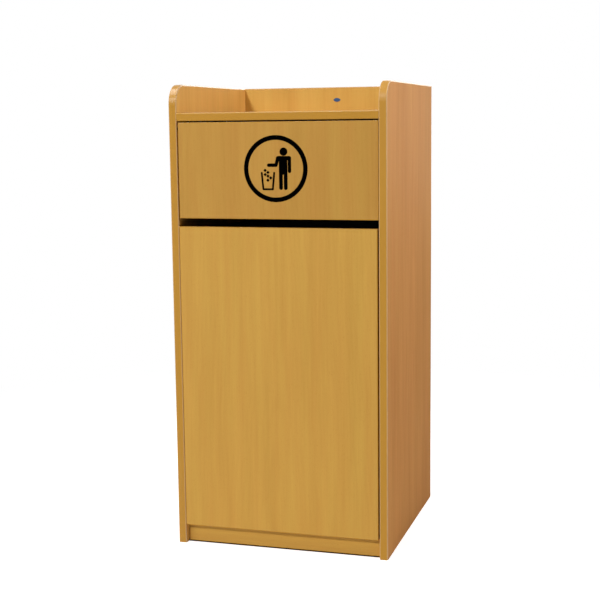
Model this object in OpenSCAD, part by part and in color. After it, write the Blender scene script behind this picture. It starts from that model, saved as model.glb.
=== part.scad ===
// Tray-top litter cabinet: two side boards stand on the floor and carry a tray with a raised
// gallery, a push flap hung on two pins, a hinged service door below it and a loose bin inside.
// Millimetres. The origin is on the floor under the middle of the cabinet; the front faces -Y.

/* [Cabinet] */
// Width over the two side panels
cabinet_w = 560; // [500:1:700]
// Depth of the side panels, front band to rear tape
cabinet_d = 566; // [520:1:700]
// Height of the side panels
cabinet_h = 1186; // [1100:1:1320]
// Thickness of the side panels, the back panel and the tray
side_t = 20.6; // [18.6:0.1:25]
// Thickness of the flap, door, bottom and kick boards
board_t = 17; // [15.5:0.1:20]
// Outer radius of the front top corners of the side panels
corner_r = 50; // [15:0.5:60]
// Height of the gallery above the tray
gallery_h = 70.9; // [55:0.1:110]
// Setback of the back panel from the rear edges of the side panels
back_inset = 15; // [6:0.5:30]

/* [Front] */
// Setback of the flap, door and tray faces from the front edges of the side panels
face_inset = 0.5; // [0.4:0.1:3]
// Height of the push flap
flap_h = 239.5; // [180:0.5:280]
// Gap above the flap
flap_gap_top = 3.5; // [3:0.1:6]
// Gap between the flap and the left side panel
flap_gap_left = 3.4; // [1:0.1:5]
// Gap between the flap and the right side panel
flap_gap_right = 0.6; // [0.6:0.1:5]
// Height of the open slot between the flap and the door
slot_h = 21; // [12:0.5:40]
// Gap between the door and the left side panel, the hinge side
door_gap_left = 0.5; // [0.5:0.1:2]
// Gap between the door and the right side panel
door_gap_right = 3.4; // [1.5:0.1:5]
// Height of the lower edge of the door above the floor
door_bottom_z = 49; // [44:0.5:80]
// Gap between the back of the closed door and the carcass
closing_gap = 1; // [0.8:0.1:2]

/* [Base] */
// Height of the lower edges of the kick plate and the back panel above the floor
kick_lift = 2.5; // [1:0.5:6]
// Height by which the door laps over the front edge of the bottom panel
bottom_lap = 20; // [18:0.5:30]

/* [Edge bands] */
// Thickness of the thick band on the side panels, the tray and the gallery back
band_t = 3; // [2.8:0.1:4]
// Radius of the arrises of the thick band
band_arris_r = 2.4; // [0.5:0.1:2.6]
// Thickness of the band round the flap and the door
panel_band_t = 2; // [1.2:0.1:2.6]
// Radius of the arrises of the band round the flap and the door
panel_arris_r = 1; // [0.3:0.1:1]
// Thickness of the thin tape on rear and inside edges
tape_t = 1; // [0.6:0.1:1.5]
// Radius of the arrises of the thin tape
tape_arris_r = 0.4; // [0.2:0.1:0.5]

/* [Flap pivots] */
// Height of the flap top above the pivot axis
pivot_drop = 15; // [14:0.5:22]
// Diameter of the pivot pins
pivot_d = 6; // [5:0.5:6.5]
// Length of the pivot pins
pivot_len = 45; // [36:1:60]
// Radial clearance of the pins in their bushes
pivot_play = 0.05; // [0.02:0.01:0.1]
// Outer diameter of the pivot bushes
bush_d = 9.5; // [8.5:0.5:9.5]
// Length of the pivot bushes
bush_len = 13; // [9:0.5:15]

/* [Flap stop] */
// Clearance between the stop rail and the edge of the turning flap
stop_clear = 1; // [0.5:0.1:3]
// Depth of the stop rail, front to back
stop_depth = 18; // [14:0.5:30]
// Distance from each end of the stop rail to the side panel
stop_end_gap = 22; // [8:1:60]
// Gap between the closed flap and the stop rail
stop_gap = 2; // [1:0.1:4]
// Distance of the outer screws of the stop rail from its ends
stop_screw_inset = 25; // [15:1:60]
// Diameter of the stop bumpers and the door bumpers
bumper_d = 8; // [5:0.5:8]
// Distance of each bumper from the side panel
bumper_inset = 70; // [60:1:120]
// Clearance between the bumpers and what closes on them
bumper_clear = 0.2; // [0.1:0.05:0.3]

/* [Door hinges] */
// Distance of each hinge from the upper or lower edge of the door
hinge_offset = 100; // [70:1:160]
// Diameter of the hinge cups
cup_d = 35; // [32:0.5:37]
// Depth of the hinge cups in the door
cup_depth = 11.5; // [11:0.1:12.5]
// Gap under the floor of a hinge cup
cup_floor_gap = 0.1; // [0:0.1:0.5]
// Wall thickness of the hinge cups
cup_wall = 1.2; // [0.8:0.1:1.6]
// Width of door left between a cup and the edge
cup_edge = 4; // [3:0.5:6]
// Thickness of the cup flange and the hinge base plates
hinge_sheet_t = 1.4; // [1:0.1:2]
// Distance between the two screws of a cup
cup_screw_pitch = 48; // [46:1:52]
// Width of the cup flange
flange_w = 27; // [25:1:32]
// Distance from the middle of a cup to the edge of its flange on the hinge side
flange_reach = 12; // [10:0.5:13]
// Height by which the flange and the base plate reach past their screws
screw_margin = 7; // [5.5:0.5:9]
// Offset of the cup screws from the middle of the cup, away from the edge
cup_screw_offset = 6; // [5:0.5:9]
// Width of the hinge arms
arm_w = 14; // [12:0.5:16]
// Length of the hinge arms
arm_len = 58; // [54:1:70]
// Height of the hinge arms
arm_h = 12; // [11:0.5:12]
// Height of the hinge arms above the side panel
arm_stand = 6; // [5:0.5:7]
// Gap between the flange of the closed door and the front end of the arm
arm_gap = 0.6; // [0.4:0.1:1.5]
// Wall thickness of the hinge arms
arm_wall = 1.5; // [1:0.1:1.5]
// Length of the block under a hinge arm
block_len = 32; // [26:1:36]
// Distance from the rear end of an arm to its block
block_setback = 3; // [0:0.5:6]
// Clearance of the block inside the arm
block_play = 0.1; // [0.05:0.05:0.3]
// Width of the hinge base plates
plate_w = 18; // [14:0.5:24]
// Diameter of the pins inside the hinges
hinge_pin_d = 4; // [3:0.5:4]
// Radius of the eyes at the ends of the links
link_eye_r = 4; // [3.2:0.1:4]
// Distance of the arm pin from the front end of the arm
arm_pin_inset = 5; // [4.5:0.1:6]
// Depth of the cup pin below the back of the door
cup_pin_sink = 4.5; // [4:0.1:5]
// Sideways step from the arm pin to the cup pin
link_step = 5.5; // [4.5:0.1:7]
// Gap between a link and the sides of the arm
link_gap = 0.5; // [0.2:0.1:1]
// Gap between the eye of a link and the open side of the arm
link_eye_gap = 0.15; // [0.1:0.05:0.5]
// Radial clearance of the links on their pins
link_play = 0.05; // [0.02:0.01:0.1]
// Depth of the screw of an arm in its block
arm_screw_bite = 6; // [5:0.5:7]
// Distance between the two screws of a hinge base plate
plate_screw_pitch = 32; // [30:1:40]

/* [Catch] */
// Height of the magnetic catch, middle to the upper edge of the door
catch_offset = 42; // [36:1:60]
// Length of the magnetic catch, upright
catch_len = 46; // [40:1:54]
// Width of the magnetic catch across the opening
catch_w = 15; // [13:0.5:18]
// Depth of the magnetic catch
catch_d = 14; // [12:0.5:20]
// Thickness of the strike plate
strike_t = 1.5; // [1:0.1:2]
// Width of the strike plate
strike_w = 10; // [8:0.5:10]
// Height of the strike plate
strike_h = 38; // [30:1:46]
// Distance of the screws of the catch from its ends
catch_screw_inset = 6; // [5:0.5:8]
// Distance of the screws of the strike plate from its ends
strike_screw_inset = 8; // [6:0.5:11]
// Thickness of the catch under its screw heads
catch_web = 4; // [2:0.5:7]
// Clearance between the catch and the strike plate
catch_clear = 0.3; // [0.1:0.05:0.5]

/* [Board joints] */
// Diameter of the dowels
dowel_d = 8; // [6:0.5:8]
// Length of the dowels
dowel_len = 30; // [25:1:36]
// Depth of the dowels in the side panels
dowel_in_side = 12; // [8:0.5:14]
// Diameter of the cam locks
cam_d = 15; // [14:0.5:16]
// Distance from the side panel to the middle of a cam lock
cam_reach = 34; // [30:1:40]
// Diameter of the cam bolts
cam_bolt_d = 5.6; // [5:0.1:6]
// Diameter of the heads of the cam bolts
cam_bolt_head_d = 6.4; // [6.2:0.1:7]
// Depth of the cam bolts in the side panels
cam_bolt_in_side = 11; // [9:0.5:14]
// Distance of the outer joint fittings from the ends of a board edge
joint_margin = 60; // [52:1:80]
// Spacing between a dowel and the cam lock beside it
joint_pitch = 32; // [28:1:40]
// Distance of the kick plate dowels from its upper and lower edges
kick_dowel_inset = 11; // [8:0.5:14]
// Clearance at the closed ends of the holes
hole_end = 0.5; // [0.3:0.1:1]
// Radial clearance of dowels, bushes, cams and screws in their holes
hole_fit = 0.03; // [0.02:0.01:0.08]

/* [Screws] */
// Diameter of the small screws
screw_d = 3.5; // [3:0.1:4]
// Length of the small screws in the board
screw_len = 13; // [10:0.5:14]
// Diameter of the heads of the small screws
screw_head_d = 7; // [6:0.1:7.5]
// Height of the heads of the small screws
screw_head_h = 2; // [1.5:0.1:2.4]
// Diameter of the carcass screws through the back panel
carcass_screw_d = 5; // [4:0.1:6]
// Length of the carcass screws
carcass_screw_len = 50; // [40:1:60]
// Distance of the outer carcass screws from the side panels
carcass_screw_inset = 90; // [60:1:140]
// Diameter of the heads of the carcass screws
carcass_head_d = 10; // [9:0.5:12]

/* [Sign] */
// Outer diameter of the litter sign
sign_d = 164; // [120:1:190]
// Height of the middle of the sign above the middle of the flap
sign_rise = 4.7; // [0:0.1:12]
// Distance of the sign to the left of the middle of the flap
sign_shift = 1.6; // [0:0.1:20]
// Thickness of the sign film
sign_t = 0.3; // [0.2:0.05:0.35]

/* [Badge] */
// Width of the plain badge on the gallery back
badge_w = 21; // [12:0.5:30]
// Height of the plain badge
badge_h = 10.5; // [6:0.5:12]
// Thickness of the plain badge
badge_t = 0.8; // [0.4:0.1:2]
// Distance of the badge to the right of the middle
badge_x = 15.4; // [-60:0.1:60]
// Height of the badge above the tray
badge_z = 35.5; // [20:0.5:45]

/* [Inner bin] */
// Width and depth of the bin over its rim
bin_rim_w = 455; // [400:1:460]
// Width and depth of the bin at its foot
bin_foot_w = 380; // [340:1:390]
// Height of the bin
bin_h = 745; // [600:1:755]
// Wall thickness of the bin
bin_wall = 3.2; // [2.5:0.1:5]
// Thickness of the floor of the bin
bin_floor_t = 4; // [3:0.1:8]
// Width of the turned-out rim
bin_lip_w = 14; // [10:0.5:20]
// Depth of the turned-down skirt of the rim
bin_lip_h = 18; // [10:0.5:30]
// Outer corner radius of the bin body
bin_corner_r = 45; // [30:1:60]
// Distance of the middle of the bin to the right of the middle of the cabinet
bin_x = 9; // [8:0.5:12]
// Gap between the rim of the bin and the back of the door
bin_front_gap = 16; // [15:0.5:24]

/* [Hidden] */
$fn = 48;
// Overshoot of cuts through a face
cut = 1;

// Main planes of the carcass
inner_x = cabinet_w / 2 - side_t;
front_y = -cabinet_d / 2;
rear_y = cabinet_d / 2;
face_y = front_y + face_inset;
panel_back_y = face_y + board_t;
carcass_y = panel_back_y + closing_gap;
back_rear_y = rear_y - back_inset;
back_front_y = back_rear_y - side_t;
inner_w = 2 * inner_x;

// Levels, from the top down
tray_top_z = cabinet_h - gallery_h;
tray_under_z = tray_top_z - side_t;
flap_top_z = tray_under_z - flap_gap_top;
flap_bottom_z = flap_top_z - flap_h;
door_top_z = flap_bottom_z - slot_h;
bottom_top_z = door_bottom_z + bottom_lap;
bottom_under_z = bottom_top_z - board_t;

// Flap and door across the front
flap_left_x = -inner_x + flap_gap_left;
flap_right_x = inner_x - flap_gap_right;
flap_w = flap_right_x - flap_left_x;
door_left_x = -inner_x + door_gap_left;
door_right_x = inner_x - door_gap_right;
door_w = door_right_x - door_left_x;
door_h = door_top_z - door_bottom_z;

// Pivot axis of the flap, in the middle of its board
pivot_y = face_y + board_t / 2;
pivot_z = flap_top_z - pivot_drop;

pin_in_bush = bush_len - 1;

// Length of a pin inside the flap where the gap beside the flap is g
function pin_in_flap(g) = pivot_len - g - pin_in_bush;

// Stop rail under the tray, clear of the turning flap
stop_y = panel_back_y + stop_gap;
stop_bottom_z = pivot_z + board_t / 2 + stop_clear;
stop_h = tray_under_z - stop_bottom_z;
stop_screw_xs = [for (s = [-1, 0, 1]) s * (inner_x - stop_end_gap - stop_screw_inset)];

// Door hinges
hinge_zs = [door_bottom_z + hinge_offset, door_top_z - hinge_offset];
cup_x = door_left_x + cup_edge + cup_d / 2;
cup_bore_r = cup_d / 2 - cup_wall;
flange_h = cup_screw_pitch + 2 * screw_margin;
flange_left_x = cup_x - flange_reach;
arm_front_y = panel_back_y + hinge_sheet_t + arm_gap;
arm_left_x = -inner_x + arm_stand;
arm_right_x = arm_left_x + arm_h;
arm_pin_y = arm_front_y + arm_pin_inset;
arm_pin_x = arm_left_x + link_eye_r + link_eye_gap;
cup_pin_x = arm_pin_x + link_step;
cup_pin_y = panel_back_y - cup_pin_sink;
link_w = arm_w - 2 * arm_wall - 2 * link_gap;
block_y = arm_front_y + arm_len - block_len - block_setback;
block_w = arm_w - 2 * arm_wall - 2 * block_play;
block_top_x = arm_right_x - arm_wall - block_play;
plate_h = plate_screw_pitch + 2 * screw_margin;
plate_screw_y = block_y + block_len / 2;

// Magnetic catch
catch_z = door_top_z - catch_offset;
strike_x = inner_x - catch_w + strike_w / 2;
strike_screw_z = strike_h / 2 - strike_screw_inset;
catch_y = panel_back_y + strike_t + catch_clear;
catch_screw_pitch = catch_len - 2 * catch_screw_inset;

// Middle planes of the boards, where their fittings run
tray_mid_z = tray_top_z - side_t / 2;
bottom_mid_z = bottom_top_z - board_t / 2;
back_mid_y = back_front_y + side_t / 2;
kick_mid_y = carcass_y + board_t / 2;
kick_h = bottom_under_z - kick_lift;
kick_mid_z = kick_lift + kick_h / 2;
joint_front_y = carcass_y + joint_margin;
joint_rear_y = back_front_y - joint_margin;
joint_low_z = bottom_top_z + joint_margin;
joint_high_z = tray_under_z - joint_margin;
joint_mid_z = (joint_low_z + joint_high_z) / 2;
kick_dowel_z = kick_h / 2 - kick_dowel_inset;

// Dowels run along X at these [y, z] places, alike on both sides
tray_dowels = [[joint_front_y, tray_mid_z], [joint_rear_y, tray_mid_z]];
bottom_dowels = [[joint_front_y, bottom_mid_z], [joint_rear_y, bottom_mid_z]];
back_dowels = [for (z = [joint_low_z, joint_mid_z, joint_high_z]) [back_mid_y, z]];
kick_dowels = [for (s = [-1, 1]) [kick_mid_y, kick_mid_z + s * kick_dowel_z]];
dowel_points = concat(tray_dowels, bottom_dowels, back_dowels, kick_dowels);

// Cam locks stand beside the dowels, further from the ends of the board edge
tray_cams = [[joint_front_y + joint_pitch, tray_mid_z], [joint_rear_y - joint_pitch, tray_mid_z]];
bottom_cams = [[joint_front_y + joint_pitch, bottom_mid_z],
    [joint_rear_y - joint_pitch, bottom_mid_z]];
back_cams = [for (z = [joint_low_z + joint_pitch, joint_mid_z + joint_pitch,
    joint_high_z - joint_pitch]) [back_mid_y, z]];
cam_points = concat(tray_cams, bottom_cams, back_cams);

// Carcass screws from the rear into the tray and the bottom panel
carcass_screw_xs = [for (s = [-1, 0, 1]) s * (inner_x - carcass_screw_inset)];
carcass_screw_zs = [tray_mid_z, bottom_mid_z];
// Height of a countersunk head with sides at 45 degrees
carcass_head_h = (carcass_head_d - carcass_screw_d) / 2;

// Inner bin
bin_base_z = bottom_top_z;
bin_y = panel_back_y + bin_front_gap + bin_rim_w / 2;
bin_top_w = bin_rim_w - 2 * bin_lip_w;

// Colours
beech = [0.77, 0.59, 0.29];
beech_side = [0.76, 0.56, 0.35];
beech_edge = [0.73, 0.54, 0.22];
gallery_beech = [0.85, 0.64, 0.31];
bare_wood = [0.82, 0.68, 0.46];
dark_paint = [0.12, 0.09, 0.07];
rubber = [0.16, 0.16, 0.16];
blackened = [0.2, 0.2, 0.21];
nickel = [0.76, 0.75, 0.72];
zinc = [0.66, 0.67, 0.68];
nylon = [0.14, 0.12, 0.11];

// Section of an edge strip: thickness t along X with its rounded arrises outwards, width w along Y
module strip_section(w, t, r) {
    intersection() {
        square([t, w]);
        union() {
            square([t - r, w]);
            translate([0, r]) square([t, w - 2 * r]);
            translate([t - r, r]) circle(r);
            translate([t - r, w - r]) circle(r);
        }
    }
}

// Strip that runs up Z with its outside towards -Y and its width along +X
module upright_front_strip(len, w, t, r) {
    rotate([0, 0, -90]) linear_extrude(len) strip_section(w, t, r);
}

// Strip that runs along +Y with its outside upwards and its width along +X
module top_strip_along_y(len, w, t, r) {
    rotate([-90, 0, 0]) rotate([0, 0, -90]) linear_extrude(len) strip_section(w, t, r);
}

// Strip that runs along +X with its outside upwards and its width along +Y
module top_strip_along_x(len, w, t, r) {
    translate([0, w, 0]) rotate([0, -90, 180]) linear_extrude(len) strip_section(w, t, r);
}

// Strip that runs along +X with its outside towards -Y and its width upwards
module front_strip_along_x(len, w, t, r) {
    translate([len, 0, 0]) rotate([0, -90, 0]) upright_front_strip(len, w, t, r);
}

// Round hole or plug along +X
module along_x(d, len) {
    rotate([0, 90, 0]) cylinder(d = d, h = len);
}

// Round hole or plug along +Y
module along_y(d, len) {
    rotate([-90, 0, 0]) cylinder(d = d, h = len);
}

// Screw with a flat round head on z = 0 and a cross recess, its shank going down
module pan_screw(len) {
    recess_w = 0.9;
    recess_l = screw_head_d * 0.62;
    recess_depth = 1.1;
    tip_len = 2;
    difference() {
        union() {
            cylinder(d = screw_head_d, h = screw_head_h);
            translate([0, 0, tip_len - len]) cylinder(d = screw_d, h = len - tip_len);
            translate([0, 0, -len]) cylinder(d1 = 0.6, d2 = screw_d, h = tip_len);
        }
        for (a = [0, 90])
            rotate(a) translate([-recess_l / 2, -recess_w / 2, screw_head_h - recess_depth])
                cube([recess_l, recess_w, cut + recess_depth]);
    }
}

// Hole for that screw, from z = 0 down
module pan_screw_hole(len) {
    translate([0, 0, -len - hole_end])
        cylinder(d = screw_d + 2 * hole_fit, h = len + hole_end + cut);
}

module left_side_panel() color(beech_side) {
    difference() {
        mirror([1, 0, 0]) side_board();
        mirror([1, 0, 0]) side_joint_holes();
        for (z = hinge_zs)
            for (s = [-1, 1])
                translate([-inner_x, plate_screw_y, z + s * plate_screw_pitch / 2])
                    rotate([0, 90, 0]) pan_screw_hole(screw_len);
    }
}

module right_side_panel() color(beech_side) {
    difference() {
        side_board();
        side_joint_holes();
        for (s = [-1, 1])
            translate([inner_x, catch_y + catch_d / 2, catch_z + s * catch_screw_pitch / 2])
                rotate([0, -90, 0]) pan_screw_hole(screw_len);
    }
}

// Board of the right side panel inside its bands, the front top corner round
module side_board() {
    core_r = corner_r - band_t;
    core_front_y = front_y + band_t;
    core_rear_y = rear_y - tape_t;
    core_top_z = cabinet_h - band_t;
    translate([inner_x, 0, 0]) rotate([90, 0, 90]) linear_extrude(side_t) union() {
        translate([core_front_y, 0])
            square([core_rear_y - core_front_y, cabinet_h - corner_r]);
        translate([front_y + corner_r, 0])
            square([core_rear_y - front_y - corner_r, core_top_z]);
        translate([front_y + corner_r, cabinet_h - corner_r]) circle(core_r);
    }
}

// Blind holes in the inner face of the right side panel
module side_joint_holes() {
    for (p = dowel_points)
        translate([inner_x - cut, p[0], p[1]])
            along_x(dowel_d + 2 * hole_fit, dowel_in_side + hole_end + cut);
    for (p = cam_points)
        translate([inner_x - cut, p[0], p[1]])
            along_x(cam_bolt_d + 2 * hole_fit, cam_bolt_in_side + hole_end + cut);
    translate([inner_x - cut, pivot_y, pivot_z]) along_x(bush_d + 2 * hole_fit, bush_len + cut);
}

// Thick band of a side panel: up the front, round the corner and back along the top
module side_edge_band() {
    union() {
        translate([inner_x, front_y + band_t, 0])
            upright_front_strip(cabinet_h - corner_r, side_t, band_t, band_arris_r);
        translate([inner_x, front_y + corner_r, cabinet_h - corner_r]) rotate([180, -90, 0])
            rotate_extrude(angle = 90) translate([corner_r - band_t, 0])
                strip_section(side_t, band_t, band_arris_r);
        translate([inner_x, front_y + corner_r, cabinet_h - band_t])
            top_strip_along_y(cabinet_d - corner_r, side_t, band_t, band_arris_r);
    }
}

module right_side_edge_band() color(beech_edge) side_edge_band();

module left_side_edge_band() color(beech_edge) mirror([1, 0, 0]) side_edge_band();

// Thin tape down the rear edge of a side panel, under the end of the top band
module rear_edge_tape() {
    translate([inner_x, rear_y - tape_t, 0]) mirror([0, 1, 0])
        upright_front_strip(cabinet_h - band_t, side_t, tape_t, tape_arris_r);
}

module right_rear_edge_tape() color(beech_side) rear_edge_tape();

module left_rear_edge_tape() color(beech_side) mirror([1, 0, 0]) rear_edge_tape();

// Holes in both ends of a board for its dowels and cam bolts
module board_end_holes(dowels, cams) {
    in_board = dowel_len - dowel_in_side;
    for (s = [0, 1])
        mirror([s, 0, 0]) {
            for (p = dowels)
                translate([inner_x - in_board - hole_end, p[0], p[1]])
                    along_x(dowel_d + 2 * hole_fit, in_board + hole_end + cut);
            for (p = cams)
                translate([inner_x - cam_reach, p[0], p[1]])
                    along_x(cam_bolt_head_d + 2 * hole_fit, cam_reach + cut);
        }
}

// Depth of a cam lock in a board of thickness t, so that it reaches past the bolt
function cam_depth(t) = t / 2 + cam_bolt_head_d / 2 + 1;

// Round pocket of a cam lock, from z = 0 up into a board of thickness t
module cam_pocket(t) {
    translate([0, 0, -cut]) cylinder(d = cam_d + 2 * hole_fit, h = cam_depth(t) + cut);
}

// Pockets in the underside of a lying board of thickness t
module cam_pockets_below(cams, under_z, t) {
    for (s = [-1, 1])
        for (p = cams)
            translate([s * (inner_x - cam_reach), p[0], under_z]) cam_pocket(t);
}

module tray_top() color(gallery_beech) {
    difference() {
        translate([-inner_x, face_y + band_t, tray_under_z])
            cube([inner_w, back_front_y - face_y - band_t, side_t]);
        board_end_holes(tray_dowels, tray_cams);
        cam_pockets_below(tray_cams, tray_under_z, side_t);
        rear_edge_holes(tray_mid_z);
        for (x = stop_screw_xs)
            translate([x, stop_y + stop_depth / 2, tray_under_z]) mirror([0, 0, 1])
                pan_screw_hole(screw_len);
    }
}

// Holes of the carcass screws in the rear edge of a board at height z
module rear_edge_holes(z) {
    bite = carcass_screw_len - side_t;
    for (x = carcass_screw_xs)
        translate([x, back_front_y - bite - hole_end, z])
            along_y(carcass_screw_d + 2 * hole_fit, bite + hole_end + cut);
}

module tray_edge_band() color(beech_edge) {
    translate([-inner_x, face_y + band_t, tray_under_z])
        front_strip_along_x(inner_w, side_t, band_t, band_arris_r);
}

module back_panel() color(gallery_beech) {
    difference() {
        translate([-inner_x, back_front_y, kick_lift])
            cube([inner_w, side_t, cabinet_h - band_t - kick_lift]);
        board_end_holes(back_dowels, back_cams);
        for (s = [-1, 1])
            for (p = back_cams)
                translate([s * (inner_x - cam_reach), back_rear_y, p[1]]) rotate([90, 0, 0])
                    cam_pocket(side_t);
        for (x = carcass_screw_xs)
            for (z = carcass_screw_zs) {
                translate([x, back_front_y - cut, z])
                    along_y(carcass_screw_d + 2 * hole_fit, side_t + 2 * cut);
                translate([x, back_rear_y - carcass_head_h, z]) rotate([-90, 0, 0])
                    cylinder(d1 = carcass_screw_d + 2 * hole_fit,
                        d2 = carcass_head_d + 2 * hole_fit, h = carcass_head_h);
            }
    }
}

module back_top_edge_band() color(beech_edge) {
    translate([-inner_x, back_front_y, cabinet_h - band_t])
        top_strip_along_x(inner_w, side_t, band_t, band_arris_r);
}

module bottom_panel() color(beech) {
    difference() {
        translate([-inner_x, carcass_y + tape_t, bottom_under_z])
            cube([inner_w, back_front_y - carcass_y - tape_t, board_t]);
        board_end_holes(bottom_dowels, bottom_cams);
        cam_pockets_below(bottom_cams, bottom_under_z, board_t);
        rear_edge_holes(bottom_mid_z);
    }
}

module bottom_edge_tape() color(beech_edge) {
    translate([-inner_x, carcass_y + tape_t, bottom_under_z])
        front_strip_along_x(inner_w, board_t, tape_t, tape_arris_r);
}

module kick_plate() color(beech) {
    difference() {
        translate([-inner_x, carcass_y, kick_lift + tape_t])
            cube([inner_w, board_t, kick_h - tape_t]);
        board_end_holes(kick_dowels, []);
    }
}

module kick_lower_edge_tape() color(beech_edge) {
    translate([-inner_x, carcass_y, kick_lift + tape_t]) mirror([0, 0, 1])
        top_strip_along_x(inner_w, board_t, tape_t, tape_arris_r);
}

module flap_stop_rail() color(dark_paint) {
    difference() {
        translate([-inner_x + stop_end_gap, stop_y, stop_bottom_z])
            cube([inner_w - 2 * stop_end_gap, stop_depth, stop_h]);
        for (x = stop_screw_xs)
            translate([x, stop_y + stop_depth / 2, stop_bottom_z - cut]) {
                cylinder(d = screw_d + 2 * hole_fit, h = stop_h + 2 * cut);
                cylinder(d = screw_head_d + 0.4, h = cut + screw_head_h + 0.4);
            }
    }
}

// Screws sunk in the underside of the stop rail and driven up into the tray
module flap_stop_screws() color(nickel) {
    sunk = screw_head_h + 0.4;
    for (x = stop_screw_xs)
        translate([x, stop_y + stop_depth / 2, stop_bottom_z + sunk]) mirror([0, 0, 1])
            pan_screw(stop_h - sunk + screw_len);
}

// Low round bumper on the front face of a board, its face towards -Y
module bumper(t) {
    translate([0, -t, 0]) along_y(bumper_d, t);
}

module flap_stop_bumpers() color(rubber) {
    for (s = [-1, 1])
        translate([s * (inner_x - bumper_inset), stop_y, tray_under_z - bumper_d / 2])
            bumper(stop_gap - bumper_clear);
}

module door_bumpers() color(rubber) {
    for (s = [-1, 1])
        translate([s * (inner_x - bumper_inset), carcass_y, bottom_mid_z])
            bumper(closing_gap - bumper_clear);
}

// Nylon bush of the flap in the right side panel
module pivot_bush() {
    translate([inner_x, pivot_y, pivot_z]) difference() {
        along_x(bush_d, bush_len);
        translate([-cut, 0, 0]) along_x(pivot_d + 2 * pivot_play, bush_len + 2 * cut);
    }
}

module right_pivot_bush() color(nylon) pivot_bush();

module left_pivot_bush() color(nylon) mirror([1, 0, 0]) pivot_bush();

module assembly_dowels() color(bare_wood) {
    for (s = [0, 1])
        mirror([s, 0, 0])
            for (p = dowel_points)
                translate([inner_x + dowel_in_side - dowel_len, p[0], p[1]])
                    along_x(dowel_d, dowel_len);
}

module cam_bolts() color(zinc) {
    head_len = 3;
    neck_len = 4;
    for (s = [0, 1])
        mirror([s, 0, 0])
            for (p = cam_points)
                translate([inner_x - cam_reach, p[0], p[1]]) {
                    along_x(cam_bolt_head_d, head_len);
                    translate([head_len, 0, 0]) along_x(cam_bolt_d - 2, neck_len);
                    translate([head_len + neck_len, 0, 0])
                        along_x(cam_bolt_d, cam_reach - head_len - neck_len + cam_bolt_in_side);
                }
}

// Cam lock with its face on z = 0, for a board of thickness t, its mouth towards +X
module cam_lock(t) {
    h = cam_depth(t) - 0.1;
    mouth_w = cam_bolt_head_d + 0.6;
    slot_w = 1.6;
    slot_l = 8;
    slot_depth = 2;
    difference() {
        cylinder(d = cam_d, h = h);
        translate([-mouth_w / 2, -mouth_w / 2, t / 2 - mouth_w / 2])
            cube([cam_d, mouth_w, mouth_w]);
        for (a = [0, 90])
            rotate(a) translate([-slot_l / 2, -slot_w / 2, -cut]) cube([slot_l, slot_w, cut + slot_depth]);
    }
}

module cam_locks() color(zinc) {
    for (s = [0, 1])
        mirror([s, 0, 0]) {
            for (p = tray_cams)
                translate([inner_x - cam_reach, p[0], tray_under_z]) cam_lock(side_t);
            for (p = bottom_cams)
                translate([inner_x - cam_reach, p[0], bottom_under_z]) cam_lock(board_t);
            for (p = back_cams)
                translate([inner_x - cam_reach, back_rear_y, p[1]]) rotate([90, 0, 0])
                    cam_lock(side_t);
        }
}

// Countersunk screws through the back panel
module carcass_screws() color(zinc) {
    recess = 3;
    for (x = carcass_screw_xs)
        for (z = carcass_screw_zs)
            translate([x, back_rear_y, z]) rotate([-90, 0, 0]) difference() {
                union() {
                    translate([0, 0, -carcass_head_h])
                        cylinder(d1 = carcass_screw_d, d2 = carcass_head_d, h = carcass_head_h);
                    translate([0, 0, -carcass_screw_len])
                        cylinder(d = carcass_screw_d, h = carcass_screw_len - carcass_head_h);
                }
                translate([0, 0, -recess]) cylinder(d = 4, h = recess + cut, $fn = 6);
            }
}

// Plain lens-shaped badge: the overlap of two circles
module oval_badge() color([0.12, 0.3, 0.5]) {
    half_w = badge_w / 2;
    half_h = badge_h / 2;
    arc_r = (half_w * half_w + half_h * half_h) / (2 * half_h);
    translate([badge_x, back_front_y, tray_top_z + badge_z]) rotate([90, 0, 0])
        linear_extrude(badge_t) intersection() {
            translate([0, half_h - arc_r]) circle(arc_r, $fn = 96);
            translate([0, arc_r - half_h]) circle(arc_r, $fn = 96);
        }
}

// Base plate of a hinge on the left side panel, with the block that carries the arm
module hinge_plate(z) {
    tapping = 8;
    translate([0, 0, z]) difference() {
        union() {
            translate([-inner_x, plate_screw_y - plate_w / 2, -plate_h / 2])
                cube([hinge_sheet_t, plate_w, plate_h]);
            translate([-inner_x, block_y, -block_w / 2])
                cube([block_top_x + inner_x, block_len, block_w]);
        }
        for (s = [-1, 1])
            translate([-inner_x - cut, plate_screw_y, s * plate_screw_pitch / 2])
                along_x(screw_d + 2 * hole_fit, hinge_sheet_t + 2 * cut);
        translate([block_top_x - tapping, plate_screw_y, 0])
            along_x(screw_d + 2 * hole_fit, tapping + cut);
    }
}

module lower_hinge_plate() color(nickel) hinge_plate(hinge_zs[0]);

module upper_hinge_plate() color(nickel) hinge_plate(hinge_zs[1]);

// Hinge arm: a channel over the block, with a pin across its front end
module hinge_arm(z) {
    translate([0, 0, z]) union() {
        difference() {
            translate([arm_left_x, arm_front_y, -arm_w / 2]) cube([arm_h, arm_len, arm_w]);
            translate([arm_left_x - cut, arm_front_y - cut, -arm_w / 2 + arm_wall])
                cube([arm_h - arm_wall + cut, arm_len + 2 * cut, arm_w - 2 * arm_wall]);
            translate([arm_right_x - arm_wall - cut, plate_screw_y, 0])
                along_x(screw_d + 2 * hole_fit, arm_wall + 2 * cut);
        }
        translate([arm_pin_x, arm_pin_y, -arm_w / 2 + arm_wall / 2])
            cylinder(d = hinge_pin_d, h = arm_w - arm_wall);
    }
}

module lower_hinge_arm() color(nickel) hinge_arm(hinge_zs[0]);

module upper_hinge_arm() color(nickel) hinge_arm(hinge_zs[1]);

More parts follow.
